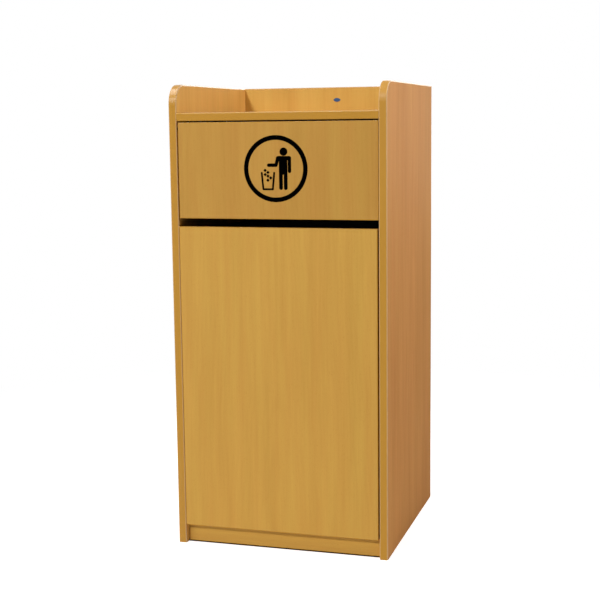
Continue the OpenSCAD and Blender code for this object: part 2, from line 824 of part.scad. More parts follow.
module hinge_plate_screws() color(nickel) {
    for (z = hinge_zs)
        for (s = [-1, 1])
            translate([-inner_x + hinge_sheet_t, plate_screw_y, z + s * plate_screw_pitch / 2])
                rotate([0, 90, 0]) pan_screw(hinge_sheet_t + screw_len);
}

module hinge_arm_screws() color(nickel) {
    for (z = hinge_zs)
        translate([arm_right_x, plate_screw_y, z]) rotate([0, 90, 0]) pan_screw(arm_wall + arm_screw_bite);
}

// Hinge cup with its flange on the back of the door and a pin across the cup
module hinge_cup(z) {
    translate([0, 0, z]) union() {
        difference() {
            union() {
                translate([cup_x, panel_back_y - cup_depth, 0])
                    along_y(cup_d, cup_depth + hinge_sheet_t);
                translate([flange_left_x, panel_back_y, -flange_h / 2])
                    cube([flange_w, hinge_sheet_t, flange_h]);
            }
            translate([cup_x, panel_back_y - cup_depth + cup_wall, 0])
                along_y(2 * cup_bore_r, cup_depth + hinge_sheet_t + cut);
            for (s = [-1, 1])
                translate([cup_x + cup_screw_offset, panel_back_y - cut, s * cup_screw_pitch / 2])
                    along_y(screw_d + 2 * hole_fit, hinge_sheet_t + 2 * cut);
        }
        intersection() {
            translate([cup_pin_x, cup_pin_y, -cup_d / 2]) cylinder(d = hinge_pin_d, h = cup_d);
            translate([cup_x, panel_back_y - cup_depth, 0]) along_y(cup_d - cup_wall, cup_depth);
        }
    }
}

module lower_hinge_cup() color(nickel) hinge_cup(hinge_zs[0]);

module upper_hinge_cup() color(nickel) hinge_cup(hinge_zs[1]);

module hinge_cup_screws() color(nickel) {
    for (z = hinge_zs)
        for (s = [-1, 1])
            translate([cup_x + cup_screw_offset, panel_back_y + hinge_sheet_t,
                z + s * cup_screw_pitch / 2])
                rotate([-90, 0, 0]) pan_screw(hinge_sheet_t + screw_len - 1);
}

// Link from the pin of the arm to the pin of the cup, closed position
module hinge_link(z) {
    dx = cup_pin_x - arm_pin_x;
    dy = cup_pin_y - arm_pin_y;
    bar_w = 2 * link_eye_r - 2;
    translate([arm_pin_x, arm_pin_y, z - link_w / 2]) difference() {
        union() {
            cylinder(r = link_eye_r, h = link_w);
            translate([dx, dy, 0]) cylinder(r = link_eye_r, h = link_w);
            rotate(atan2(dy, dx)) translate([0, -bar_w / 2, 0])
                cube([sqrt(dx * dx + dy * dy), bar_w, link_w]);
        }
        for (p = [[0, 0], [dx, dy]])
            translate([p[0], p[1], -cut])
                cylinder(d = hinge_pin_d + 2 * link_play, h = link_w + 2 * cut);
    }
}

module lower_hinge_link() color(nickel) hinge_link(hinge_zs[0]);

module upper_hinge_link() color(nickel) hinge_link(hinge_zs[1]);

// Magnetic catch on the right side panel behind the closed door
module catch_body() color([0.35, 0.24, 0.16]) {
    difference() {
        translate([inner_x - catch_w, catch_y, catch_z - catch_len / 2])
            cube([catch_w, catch_d, catch_len]);
        for (s = [-1, 1])
            translate([inner_x - catch_w - cut, catch_y + catch_d / 2,
                catch_z + s * catch_screw_pitch / 2]) {
                along_x(screw_head_d + 0.6, catch_w - catch_web + cut);
                along_x(screw_d + 2 * hole_fit, catch_w + 2 * cut);
            }
    }
}

module catch_screws() color(nickel) {
    for (s = [-1, 1])
        translate([inner_x - catch_web, catch_y + catch_d / 2,
            catch_z + s * catch_screw_pitch / 2])
            rotate([0, -90, 0]) pan_screw(catch_web + screw_len);
}

module catch_strike() color(nickel) {
    difference() {
        translate([strike_x - strike_w / 2, panel_back_y, catch_z - strike_h / 2])
            cube([strike_w, strike_t, strike_h]);
        strike_holes();
    }
}

// Countersunk holes of the strike plate
module strike_holes() {
    for (s = [-1, 1])
        translate([strike_x, panel_back_y + strike_t, catch_z + s * strike_screw_z])
            rotate([-90, 0, 0]) {
                translate([0, 0, -strike_t])
                    cylinder(d1 = screw_d + 2 * hole_fit, d2 = screw_head_d - 1, h = strike_t);
                translate([0, 0, -strike_t - screw_len]) cylinder(d = screw_d + 2 * hole_fit,
                    h = screw_len + cut);
            }
}

// Flush screws of the strike plate
module strike_screws() color(nickel) {
    slit_w = 0.9;
    for (s = [-1, 1])
        translate([strike_x, panel_back_y + strike_t, catch_z + s * strike_screw_z])
            rotate([-90, 0, 0]) difference() {
                union() {
                    translate([0, 0, -strike_t])
                        cylinder(d1 = screw_d, d2 = screw_head_d - 1 - 2 * hole_fit, h = strike_t);
                    translate([0, 0, 1 - strike_t - screw_len])
                        cylinder(d = screw_d, h = screw_len - 1);
                }
                translate([-2, -slit_w / 2, -0.7]) cube([4, slit_w, cut + 0.7]);
            }
}

// Board inside the bands of the flap or the door
module banded_board(left_x, bottom_z, w, h) {
    translate([left_x + panel_band_t, face_y, bottom_z + panel_band_t])
        cube([w - 2 * panel_band_t, board_t, h - 2 * panel_band_t]);
}

// Upper band of a panel, over its full width
module panel_top_band(left_x, top_z, w) {
    translate([left_x, face_y, top_z - panel_band_t])
        top_strip_along_x(w, board_t, panel_band_t, panel_arris_r);
}

// Lower band of a panel, over its full width
module panel_bottom_band(left_x, bottom_z, w) {
    translate([0, 0, 2 * bottom_z + panel_band_t]) mirror([0, 0, 1])
        panel_top_band(left_x, bottom_z + panel_band_t, w);
}

// Right band of a panel, between the upper and the lower band
module panel_right_band(right_x, bottom_z, h) {
    translate([right_x - panel_band_t, face_y, bottom_z + panel_band_t])
        linear_extrude(h - 2 * panel_band_t) strip_section(board_t, panel_band_t, panel_arris_r);
}

// Left band of a panel, between the upper and the lower band
module panel_left_band(left_x, bottom_z, h) {
    mirror([1, 0, 0]) panel_right_band(-left_x, bottom_z, h);
}

// Holes of both pivot pins in the flap and its end bands
module flap_pin_holes() {
    for (e = [[-1, flap_gap_left], [1, flap_gap_right]])
        translate([0, pivot_y, pivot_z]) mirror([e[0] < 0 ? 1 : 0, 0, 0])
            translate([inner_x - e[1] - pin_in_flap(e[1]) - hole_end, 0, 0])
                along_x(pivot_d + 2 * hole_fit, pin_in_flap(e[1]) + hole_end + cut);
}

module flap_panel() color(beech) {
    difference() {
        banded_board(flap_left_x, flap_bottom_z, flap_w, flap_h);
        flap_pin_holes();
    }
}

module flap_top_edge_band() color(beech_edge) panel_top_band(flap_left_x, flap_top_z, flap_w);

module flap_bottom_edge_band() color(beech_edge) {
    panel_bottom_band(flap_left_x, flap_bottom_z, flap_w);
}

module flap_left_edge_band() color(beech_edge) {
    difference() {
        panel_left_band(flap_left_x, flap_bottom_z, flap_h);
        flap_pin_holes();
    }
}

module flap_right_edge_band() color(beech_edge) {
    difference() {
        panel_right_band(flap_right_x, flap_bottom_z, flap_h);
        flap_pin_holes();
    }
}

// Steel pin fast in the flap, its outer end in the bush of the right side panel
module pivot_pin() {
    translate([inner_x + pin_in_bush - pivot_len, pivot_y, pivot_z]) along_x(pivot_d, pivot_len);
}

module right_pivot_pin() color(blackened) pivot_pin();

module left_pivot_pin() color(blackened) mirror([1, 0, 0]) pivot_pin();

module door_panel() color(beech) {
    difference() {
        banded_board(door_left_x, door_bottom_z, door_w, door_h);
        for (z = hinge_zs) {
            translate([cup_x, panel_back_y - cup_depth - cup_floor_gap, z])
                along_y(cup_d + 2 * hole_fit, cup_depth + cup_floor_gap + cut);
            for (s = [-1, 1])
                translate([cup_x + cup_screw_offset, panel_back_y, z + s * cup_screw_pitch / 2])
                    rotate([-90, 0, 0]) pan_screw_hole(screw_len - 1);
        }
        strike_holes();
    }
}

module door_top_edge_band() color(beech_edge) panel_top_band(door_left_x, door_top_z, door_w);

module door_bottom_edge_band() color(beech_edge) {
    panel_bottom_band(door_left_x, door_bottom_z, door_w);
}

module door_left_edge_band() color(beech_edge) {
    panel_left_band(door_left_x, door_bottom_z, door_h);
}

module door_right_edge_band() color(beech_edge) {
    panel_right_band(door_right_x, door_bottom_z, door_h);
}

// Bar with round ends from point a to point b
module round_bar(a, b, w) {
    d = b - a;
    translate(a) circle(d = w, $fn = 12);
    translate(b) circle(d = w, $fn = 12);
    translate(a) rotate(atan2(d[1], d[0])) translate([0, -w / 2]) square([norm(d), w]);
}

// Standing figure that drops litter, drawn in hundredths of the sign diameter
module figure() {
    arm_bar = 5.2;
    leg_bar = 5.75;
    torso_x = 5.3;
    torso_w = 13.25;
    hip_z = -8.9;
    shoulder_z = 15.8;
    elbow = [0.8, 5.35];
    translate([12.7, 25.4]) circle(6.1);
    translate([torso_x, hip_z]) square([torso_w, shoulder_z - hip_z]);
    round_bar([3.8, shoulder_z], [21.3, shoulder_z], 6.2);
    round_bar([21.8, shoulder_z - 1], [21.8, -3.8], arm_bar);
    round_bar([3.5, shoulder_z - 0.4], elbow, arm_bar);
    round_bar(elbow, [-10.9, elbow[1]], arm_bar);
    for (x = [torso_x + leg_bar / 2, torso_x + torso_w - leg_bar / 2])
        round_bar([x, hip_z + 1], [x, -28.8], leg_bar);
}

// Open basket of the sign
module basket() {
    rim_half = 9.8;
    foot_half = 7.5;
    rim_z = -6.2;
    foot_z = -30.7;
    middle_x = -12.15;
    bar = 2.9;
    for (s = [-1, 1])
        round_bar([middle_x + s * rim_half, rim_z], [middle_x + s * foot_half, foot_z], bar);
    round_bar([middle_x - foot_half, foot_z], [middle_x + foot_half, foot_z], bar);
}

// Pieces of litter: small squares on their corners, falling into the basket
module litter() {
    piece = 3.8;
    for (p = [[-16.6, -2.5], [-12.1, -5.4], [-16.5, -8.6], [-12.2, -10.9], [-7.9, -13.7], [-12.3, -17.1]])
        translate(p) rotate(45) square(piece, center = true);
}

module litter_sign() color([0.03, 0.03, 0.03]) {
    ring_r = 50;
    ring_bar = 6.9;
    sign_x = (flap_left_x + flap_right_x) / 2 - sign_shift;
    sign_z = flap_bottom_z + flap_h / 2 + sign_rise;
    translate([sign_x, face_y, sign_z]) rotate([90, 0, 0]) linear_extrude(sign_t)
        scale(sign_d / 100) {
            difference() {
                circle(ring_r, $fn = 128);
                circle(ring_r - ring_bar, $fn = 128);
            }
            figure();
            basket();
            litter();
        }
}

// Square with round corners, centred
module round_square(w, r) {
    square([w, w - 2 * r], center = true);
    square([w - 2 * r, w], center = true);
    for (x = [-1, 1])
        for (y = [-1, 1])
            translate([x * (w / 2 - r), y * (w / 2 - r)]) circle(r, $fn = 32);
}

// Tapered body from a foot of width a at z = z0 to a width b at z = z1, corner radius r
module tapered_body(a, b, z0, z1, r) {
    slice = 0.01;
    hull() {
        translate([0, 0, z0]) linear_extrude(slice) round_square(a, r);
        translate([0, 0, z1 - slice]) linear_extrude(slice) round_square(b, r);
    }
}

module inner_bin() color([0.15, 0.15, 0.16]) {
    slope = (bin_top_w - bin_foot_w) / bin_h;
    translate([bin_x, bin_y, bin_base_z]) difference() {
        union() {
            tapered_body(bin_foot_w, bin_top_w, 0, bin_h, bin_corner_r);
            difference() {
                translate([0, 0, bin_h - bin_lip_h]) linear_extrude(bin_lip_h)
                    round_square(bin_rim_w, bin_corner_r + bin_lip_w);
                translate([0, 0, bin_h - bin_lip_h - cut])
                    linear_extrude(bin_lip_h - bin_wall + cut)
                        round_square(bin_rim_w - 2 * bin_wall, bin_corner_r + bin_lip_w - bin_wall);
            }
        }
        tapered_body(bin_foot_w - 2 * bin_wall + slope * bin_floor_t,
            bin_top_w - 2 * bin_wall + slope * cut, bin_floor_t, bin_h + cut, bin_corner_r - bin_wall);
    }
}

left_side_panel();
right_side_panel();
left_side_edge_band();
right_side_edge_band();
left_rear_edge_tape();
right_rear_edge_tape();
back_panel();
back_top_edge_band();
tray_top();
tray_edge_band();
bottom_panel();
bottom_edge_tape();
kick_plate();
kick_lower_edge_tape();
flap_stop_rail();
flap_stop_screws();
flap_stop_bumpers();
left_pivot_bush();
right_pivot_bush();
assembly_dowels();
cam_bolts();
cam_locks();
carcass_screws();
oval_badge();
upper_hinge_plate();
lower_hinge_plate();
upper_hinge_arm();
lower_hinge_arm();
hinge_plate_screws();
hinge_arm_screws();
catch_body();
catch_screws();
door_bumpers();
inner_bin();
flap_panel();
flap_top_edge_band();
flap_bottom_edge_band();
flap_left_edge_band();
flap_right_edge_band();
left_pivot_pin();
right_pivot_pin();
litter_sign();
door_panel();
door_top_edge_band();
door_bottom_edge_band();
door_left_edge_band();
door_right_edge_band();
upper_hinge_cup();
lower_hinge_cup();
hinge_cup_screws();
catch_strike();
strike_screws();
upper_hinge_link();
lower_hinge_link();
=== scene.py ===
# Tray-top waste receptacle in beech laminate: finishes, inner bin, hinge links, floor, lamps and camera
import math

import bpy
import numpy as np
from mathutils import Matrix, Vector


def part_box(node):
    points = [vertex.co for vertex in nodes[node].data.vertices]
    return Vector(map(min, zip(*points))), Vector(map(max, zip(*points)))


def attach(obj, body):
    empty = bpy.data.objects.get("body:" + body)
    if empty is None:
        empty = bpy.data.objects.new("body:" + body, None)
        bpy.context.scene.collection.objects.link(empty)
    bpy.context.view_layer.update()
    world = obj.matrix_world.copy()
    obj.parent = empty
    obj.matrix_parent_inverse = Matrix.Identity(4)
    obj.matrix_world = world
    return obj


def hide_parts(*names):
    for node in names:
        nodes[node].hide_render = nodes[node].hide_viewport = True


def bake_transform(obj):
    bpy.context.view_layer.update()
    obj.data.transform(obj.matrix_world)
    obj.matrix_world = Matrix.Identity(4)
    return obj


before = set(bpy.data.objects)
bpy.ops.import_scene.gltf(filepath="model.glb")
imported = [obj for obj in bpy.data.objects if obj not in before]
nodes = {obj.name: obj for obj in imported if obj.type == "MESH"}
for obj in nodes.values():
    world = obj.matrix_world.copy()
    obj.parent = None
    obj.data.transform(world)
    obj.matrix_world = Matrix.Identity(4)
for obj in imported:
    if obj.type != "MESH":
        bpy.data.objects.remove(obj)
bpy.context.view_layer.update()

# Camera of the photo: place in metres, turn in degrees, lens on a 36 mm sensor
photoView = {
    "place": (0.94955, -3.24116, 1.08525),
    "turn": (82.0159, 0.6593, 16.6670),
    "lens": 75.477,
    "sensor": 36.0,
}


def makeCamera(view):
    data = bpy.data.cameras.new("photo_camera")
    data.lens = view["lens"]
    data.sensor_width = view["sensor"]
    camera = bpy.data.objects.new("photo_camera", data)
    camera.location = view["place"]
    camera.rotation_euler = [math.radians(angle) for angle in view["turn"]]
    bpy.context.scene.collection.objects.link(camera)
    bpy.context.scene.camera = camera


makeCamera(photoView)
bpy.context.scene.view_settings.view_transform = "Standard"
print("camera: lens", photoView["lens"], "mm")


# Node trees written as sums
class Wire:
    # one output of a node; an expression on wires and numbers adds its Math nodes
    def __init__(self, shader, socket):
        self.shader = shader
        self.socket = socket

    def out(self, name):  # another output of the same node
        return Wire(self.shader, self.socket.node.outputs[name])

    def maths(self, operation, *others):
        return self.shader.maths(operation, self, *others)

    def __add__(self, other):
        return self.maths("ADD", other)

    __radd__ = __add__

    def __sub__(self, other):
        return self.maths("SUBTRACT", other)

    def __rsub__(self, other):
        return self.shader.maths("SUBTRACT", other, self)

    def __mul__(self, other):
        return self.maths("MULTIPLY", other)

    __rmul__ = __mul__

    def __truediv__(self, other):
        return self.maths("DIVIDE", other)

    def __pow__(self, other):
        return self.maths("POWER", other)


class Shader:
    # the node tree of a material or a world
    def __init__(self, owner):
        owner.use_nodes = True
        self.owner = owner
        self.tree = owner.node_tree
        self.tree.nodes.clear()

    # any node: its type, its settings, the values or links of its sockets, and the wanted output
    def add(self, kind, settings=None, sockets=None, out=0):
        node = self.tree.nodes.new("ShaderNode" + kind)
        for name, value in (settings or {}).items():
            setattr(node, name, value)
        for name, value in (sockets or {}).items():
            socket = findSocket(node.inputs, name)
            if isinstance(value, Wire):
                self.tree.links.new(value.socket, socket)
            else:
                socket.default_value = value
        return Wire(self, node.outputs[out]) if node.outputs else None

    def maths(self, operation, *values):
        return self.add("Math", {"operation": operation}, dict(enumerate(values)))

    def mix(self, share, first, second, blend="MIX"):
        colours = {"Factor_Float": share, "A_Color": first, "B_Color": second}
        settings = {"data_type": "RGBA", "blend_type": blend, "clamp_factor": True}
        return self.add("Mix", settings, colours).out(2)

    def noise(self, place, scale=1.0, detail=2.0, rough=0.5):
        look = {"Vector": place, "Scale": scale, "Detail": detail, "Roughness": rough}
        return self.add("TexNoise", {}, look)

    def bump(self, look, height):
        relief = {"Strength": look["bump"], "Distance": look["relief"], "Height": height}
        return self.add("Bump", {}, relief)

    # from a finish's pale colour at 0 to its deep one at 1
    def tone(self, share, look):
        return self.mix(share, colour(*look["pale"]), colour(*look["deep"]))

    def finish(self, skin):
        surface = self.add("BsdfPrincipled", {}, skin)
        self.add("OutputMaterial", {}, {"Surface": surface})
        return self.owner


def findSocket(sockets, name):
    if isinstance(name, int):
        return sockets[name]
    return [socket for socket in sockets if name in (socket.identifier, socket.name)][0]


# A colour as a screen shows it, 0 to 255, turned into Blender's linear light
def colour(red, green, blue):
    screen = np.array([red, green, blue]) / 255
    linear = np.where(screen <= 0.04045, screen / 12.92, ((screen + 0.055) / 1.055) ** 2.4)
    return (*linear.tolist(), 1.0)


# Lamps: place and aim in metres, width and length of the softbox in metres, power in watts
lamps = {
    "overhead_left": {
        "place": (-1.15, -0.55, 3.2), "aim": (-1.15, 0.45, 1.0), "size": (0.5, 1.8), "power": 27},
    "overhead_middle": {
        "place": (-0.28, -0.4, 3.2), "aim": (-0.28, 0.6, 1.0), "size": (0.7, 1.6), "power": 7},
    "overhead_right": {
        "place": (1.5, -0.2, 3.0), "aim": (0.1, 0, 1.0), "size": (1.0, 1.0), "power": 16},
    "high_left": {
        "place": (-2.7, -9.3, 6.95), "aim": (0, 0, 0.6), "size": (1.5, 1.5), "power": 700},
    "corner_glint": {
        "place": (-1.25, -2.55, 1.95), "aim": (-0.27, -0.28, 1.2), "size": (0.18, 0.18), "power": 3},
    "right_near": {
        "place": (1.7, -0.45, 1.7), "aim": (0.1, -0.1, 0.8), "size": (0.6, 0.6), "power": 11},
    "left_fill": {
        "place": (-2.6, -2.4, 0.4), "aim": (0, 0, 0.4), "size": (1.2, 1.2), "power": 24},
    "back_fill": {
        "place": (0.4, 3.2, 1.6), "aim": (0, 0, 0.6), "size": (2.0, 2.0), "power": 60},
}
sky = {"light": 0.07, "seen": 1.0}  # grey level that lights the object, and the level that is seen
floorLook = {
    "half": 9.0, "bounce": (225, 223, 218), "shade": (238, 238, 238), "glow": 0.60,
    "near": 0.7, "far": 2.2,  # metres from the middle where the floor starts to fade and is all white
    # half width and half depth of the part hidden under the object, how soft its rim is, and the dark
    # colour of the painted shadow there
    "under": (0.259, 0.2665), "underSoft": 0.0015, "paintedShadowColour": (60, 44, 26),
}


def softbox(name, lamp):
    data = bpy.data.lights.new(name, "AREA")
    data.energy = lamp["power"]
    data.shape = "RECTANGLE"
    data.size, data.size_y = lamp["size"]
    light = bpy.data.objects.new(name, data)
    light.location = lamp["place"]
    ray = Vector(lamp["aim"]) - Vector(lamp["place"])
    light.rotation_euler = ray.to_track_quat("-Z", "Y").to_euler()
    bpy.context.scene.collection.objects.link(light)


# 1 where the camera, a mirror or a glass looks, 0 where light is only gathered
def seenShare(shader):
    path = shader.add("LightPath", out="Is Camera Ray")
    mirrored = path.maths("MAXIMUM", path.out("Is Glossy Ray"))
    return mirrored.maths("MAXIMUM", path.out("Is Transmission Ray"))


def makeSky(look):
    world = bpy.data.worlds.new("studio")
    bpy.context.scene.world = world
    shader = Shader(world)
    lit, seen = [(level, level, level, 1.0) for level in (look["light"], look["seen"])]
    grey = shader.mix(seenShare(shader), lit, seen)
    air = shader.add("Background", {}, {"Color": grey, "Strength": 1.0})
    shader.add("OutputWorld", {}, {"Surface": air})


# How far a point lies from the middle, eased from 0 at the near distance to 1 at the far one
def farShare(shader, parts, look):
    distance = (parts.out("X") ** 2.0 + parts.out("Y") ** 2.0) ** 0.5
    reach = {"Value": distance, "From Min": look["near"], "From Max": look["far"]}
    return shader.add("MapRange", {"interpolation_type": "SMOOTHSTEP"}, reach)


# Mask of the painted shadow: 1 on the floor that the object hides and 0 around it, the smaller of the two
# distances to the rim, where each is half the hidden size minus the distance from the middle
def paintedShadowShare(shader, parts, look):
    inside = [half - parts.out(axis).maths("ABSOLUTE") for axis, half in zip("XY", look["under"])]
    depth = inside[0].maths("MINIMUM", inside[1])
    return (depth / look["underSoft"] + 0.5).maths("MAXIMUM", 0.0).maths("MINIMUM", 1.0)


def makeFloor(look):
    half = look["half"]
    corners = [(-half, -half, 0), (half, -half, 0), (half, half, 0), (-half, half, 0)]
    mesh = bpy.data.meshes.new("floor")
    mesh.from_pydata(corners, [], [(0, 1, 2, 3)])
    floor = bpy.data.objects.new("floor", mesh)
    bpy.context.scene.collection.objects.link(floor)
    shader = Shader(bpy.data.materials.new("pale_floor"))
    parts = shader.add("SeparateXYZ", {}, {"Vector": shader.add("TexCoord", out="Object")})
    bounce = shader.add("BsdfDiffuse", {}, {"Color": colour(*look["bounce"])})
    glow = shader.add("Emission", {}, {"Color": (1, 1, 1, 1), "Strength": look["glow"]})
    shade = shader.add("BsdfDiffuse", {}, {"Color": colour(*look["shade"])})
    white = shader.add("Emission", {}, {"Color": (1, 1, 1, 1), "Strength": 1.0})
    lit = shader.add("AddShader", {}, {0: glow, 1: shade})
    # Painted shadow: under the object the seen floor is a dark diffuse colour in place of its glow
    paintedShadowFloor = shader.add("BsdfDiffuse", {}, {"Color": colour(*look["paintedShadowColour"])})
    near = shader.add("MixShader", {}, {0: paintedShadowShare(shader, parts, look), 1: lit, 2: paintedShadowFloor})
    shown = shader.add("MixShader", {}, {0: farShare(shader, parts, look), 1: near, 2: white})
    surface = shader.add("MixShader", {}, {0: seenShare(shader), 1: bounce, 2: shown})
    shader.add("OutputMaterial", {}, {"Surface": surface})
    mesh.materials.append(shader.owner)


for lampName, lampLook in lamps.items():
    softbox(lampName, lampLook)
makeSky(sky)
makeFloor(floorLook)
print("studio:", len(lamps), "softboxes, sky and floor")


# The board's own directions as wires: across the grain, through the board and along the grain
def boardAxes(shader, look):
    place = shader.add("TexCoord", out="Object")
    parts = shader.add("SeparateXYZ", {}, {"Vector": place})
    return [parts.out(look[name]) for name in ("across", "through", "along")]


# What each layer of a pattern adds to the seed of its board, so that no two layers run alike
layerSeeds = {
    "band": 0.0, "stripe": 4.1, "streak": 1.7, "fibre": 3.1, "fleck": 5.3, "hue": 6.4, "strength": 9.9,
    "sway": 7.0, "drift": 13.0, "line": 0.0, "cloud": 2.3,
}


# One layer of noise drawn out along the grain: a cell is the layer's width across and through the
# board and its length along it, both in metres
def drawnNoise(shader, axes, look, layer, detail=2.0):
    across, through, along = axes
    width, length = look[layer + "Width"], look[layer + "Length"]
    seed = look["seed"] + layerSeeds[layer]
    cell = {0: across / width, 1: through / width + seed, 2: along / length}
    return shader.noise(shader.add("CombineXYZ", {}, cell), detail=detail, rough=0.55)


# Growth rings of a slightly conical trunk where the board cuts it: the ring number is the distance
# from the heart, the root of across squared plus depth squared, plus taper times the way along
def ringLines(shader, axes, look):
    across, through, along = axes
    side = across - look["heart"]
    sway = drawnNoise(shader, axes, look, "sway")
    radius = (side * side + look["depth"] ** 2) ** 0.5
    ringNumber = (radius + along * look["taper"] + (sway - 0.5) * look["sway"]) / look["pitch"]
    late = (ringNumber * (2 * math.pi)).maths("SINE") * 0.5 + 0.5
    return late ** 2.0


# The board's directions with a slow wander of the grain added across it
def wanderingAxes(shader, look):
    across, through, along = axes = boardAxes(shader, look)
    drift = drawnNoise(shader, axes, look, "drift", detail=1.0)
    return [across + (drift - 0.5) * look["wander"], through, along]


# Printed beech laminate: broad bands, middling stripes, faint growth rings, streaks, fibres and short
# flecks on a matt film, with a slow turn of the colour between warm and cool. The seed is its place
# on the printed roll.
beech = {
    "pale": (204, 161, 76), "deep": (188, 139, 63),
    "warm": (1.012, 0.988, 1.0, 1.0), "cool": (0.988, 1.012, 1.0, 1.0),
    "across": "X", "through": "Y", "along": "Z",
    "wander": 0.014, "driftWidth": 0.10, "driftLength": 0.32,
    "heart": 0.02, "depth": 0.06, "taper": 0.05, "pitch": 0.011,
    "sway": 0.034, "swayWidth": 0.07, "swayLength": 0.30,
    "bands": 1.0, "bandWidth": 0.070, "bandLength": 0.75,
    "stripes": 0.75, "stripeWidth": 0.017, "stripeLength": 0.34,
    "rings": 0.14, "ringMiddle": 0.4, "strengthWidth": 0.09, "strengthLength": 0.35,
    "streaks": 0.34, "streakWidth": 0.0046, "streakLength": 0.20,
    "fibres": 0.30, "fibreWidth": 0.0012, "fibreLength": 0.05,
    "flecks": 0.35, "fleckWidth": 0.0009, "fleckLength": 0.005, "fleckStart": 0.68, "fleckGain": 8.0,
    "hueGain": 2.5, "hueWidth": 0.035, "hueLength": 0.5,
    "roughness": 0.5, "roughnessSpread": 0.12, "gloss": 0.12, "bump": 0.35, "relief": 0.00006,
    "seed": 0.0,
}


def laminate(name, changes):
    look = {**beech, **changes}
    shader = Shader(bpy.data.materials.new(name))
    axes = wanderingAxes(shader, look)
    band, stripe, streak, fibre = [
        drawnNoise(shader, axes, look, layer) for layer in ("band", "stripe", "streak", "fibre")]
    fleck = drawnNoise(shader, axes, look, "fleck", detail=0.0)
    hue = drawnNoise(shader, axes, look, "hue")
    strength = drawnNoise(shader, axes, look, "strength")  # the rings come and go
    ring = (ringLines(shader, axes, look) - look["ringMiddle"]) * strength
    fleckMask = (fleck - look["fleckStart"]).maths("MAXIMUM", 0.0) * look["fleckGain"]
    broad = (band - 0.5) * look["bands"] + (stripe - 0.5) * look["stripes"]
    grain = (streak - 0.5) * look["streaks"] + (fibre - 0.5) * look["fibres"]
    depth = 0.5 + broad + ring * look["rings"] + grain + fleckMask * look["flecks"]
    tint = shader.mix((hue - 0.5) * look["hueGain"] + 0.5, look["warm"], look["cool"])
    return shader.finish({
        "Base Color": shader.mix(1.0, shader.tone(depth, look), tint, blend="MULTIPLY"),
        "Roughness": look["roughness"] + (fibre - 0.5) * look["roughnessSpread"],
        "Specular IOR Level": look["gloss"],
        "Normal": shader.bump(look, fibre + streak),
    })


# Extruded edging: plain coloured strip with faint lines along it, faint clouds and a satin surface. Where
# arrises are given, as places across it in metres, they and the trimmed sides beyond them are painted
# paler: a painted highlight
strip = {
    "pale": (184, 134, 38), "deep": (173, 122, 29),
    "across": "X", "through": "Y", "along": "Z",
    "lines": 0.5, "lineWidth": 0.0016, "lineLength": 0.35,
    "clouds": 0.6, "cloudWidth": 0.03, "cloudLength": 0.25,
    # pale colour of the painted highlight on the arrises, its width in metres, and where the arrises lie
    "arrisHighlight": (206, 168, 120), "arrisWidth": 0.003, "arrises": (),
    "roughness": 0.26, "roughnessSpread": 0.1, "gloss": 0.36, "bump": 0.2, "relief": 0.00005,
    "seed": 0.0,
}


# Mask of the painted highlight: 1 on an arris and on the trimmed side beyond it, falling to 0 over the
# arris width: one minus the distance from the nearest arris over the width
def paintedHighlightShare(across, look):
    share = 0.0
    for at in look["arrises"]:
        distance = (across - at).maths("ABSOLUTE")
        share = (1.0 - distance / look["arrisWidth"]).maths("MAXIMUM", share)
    return share


def edging(name, changes):
    look = {**strip, **changes}
    shader = Shader(bpy.data.materials.new(name))
    axes = boardAxes(shader, look)
    line = drawnNoise(shader, axes, look, "line")
    cloud = drawnNoise(shader, axes, look, "cloud")
    depth = 0.5 + (line - 0.5) * look["lines"] + (cloud - 0.5) * look["clouds"]
    face = shader.tone(depth, look)
    return shader.finish({
        # painted highlight on the arrises
        "Base Color": shader.mix(paintedHighlightShare(axes[0], look), face, colour(*look["arrisHighlight"])),
        "Roughness": look["roughness"] + (line - 0.5) * look["roughnessSpread"],
        "Specular IOR Level": look["gloss"],
        "Normal": shader.bump(look, line),
    })


# Solid material with a speckled surface: moulded plastic, rubber, film, cast or plated metal
def speckled(name, look):
    shader = Shader(bpy.data.materials.new(name))
    place = shader.add("TexCoord", out="Object")
    speckle = shader.noise(place, scale=1 / look["speckleSize"], detail=2.0)
    cloud = shader.noise(place, scale=1 / look["cloudSize"], detail=3.0)
    depth = 0.5 + (cloud - 0.5) * look["clouds"] + (speckle - 0.5) * look["speckles"]
    return shader.finish({
        "Base Color": shader.tone(depth, look),
        "Roughness": look["roughness"] + (cloud - 0.5) * look["roughnessSpread"],
        "Metallic": look["metal"],
        "Specular IOR Level": look["gloss"],
        "Coat Weight": look["coat"],
        "Normal": shader.bump(look, speckle),
    })


# What the speckled materials share, sizes in metres
plain = {
    "speckleSize": 0.0008, "cloudSize": 0.02, "clouds": 0.8, "speckles": 0.5,
    "roughness": 0.5, "roughnessSpread": 0.15, "metal": 0.0, "gloss": 0.4, "coat": 0.0,
    "bump": 0.3, "relief": 0.00005,
}

# What the two side panels share: their grain is upright and their face looks sideways
sideBoard = {
    "pale": (217, 156, 90), "deep": (196, 133, 74), "across": "Y", "through": "X",
    "gloss": 0.01, "roughness": 0.6,
}


# The two sides of an upright band, as places across it
def bandSides(node):
    low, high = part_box(node)
    return (low.x, high.x)


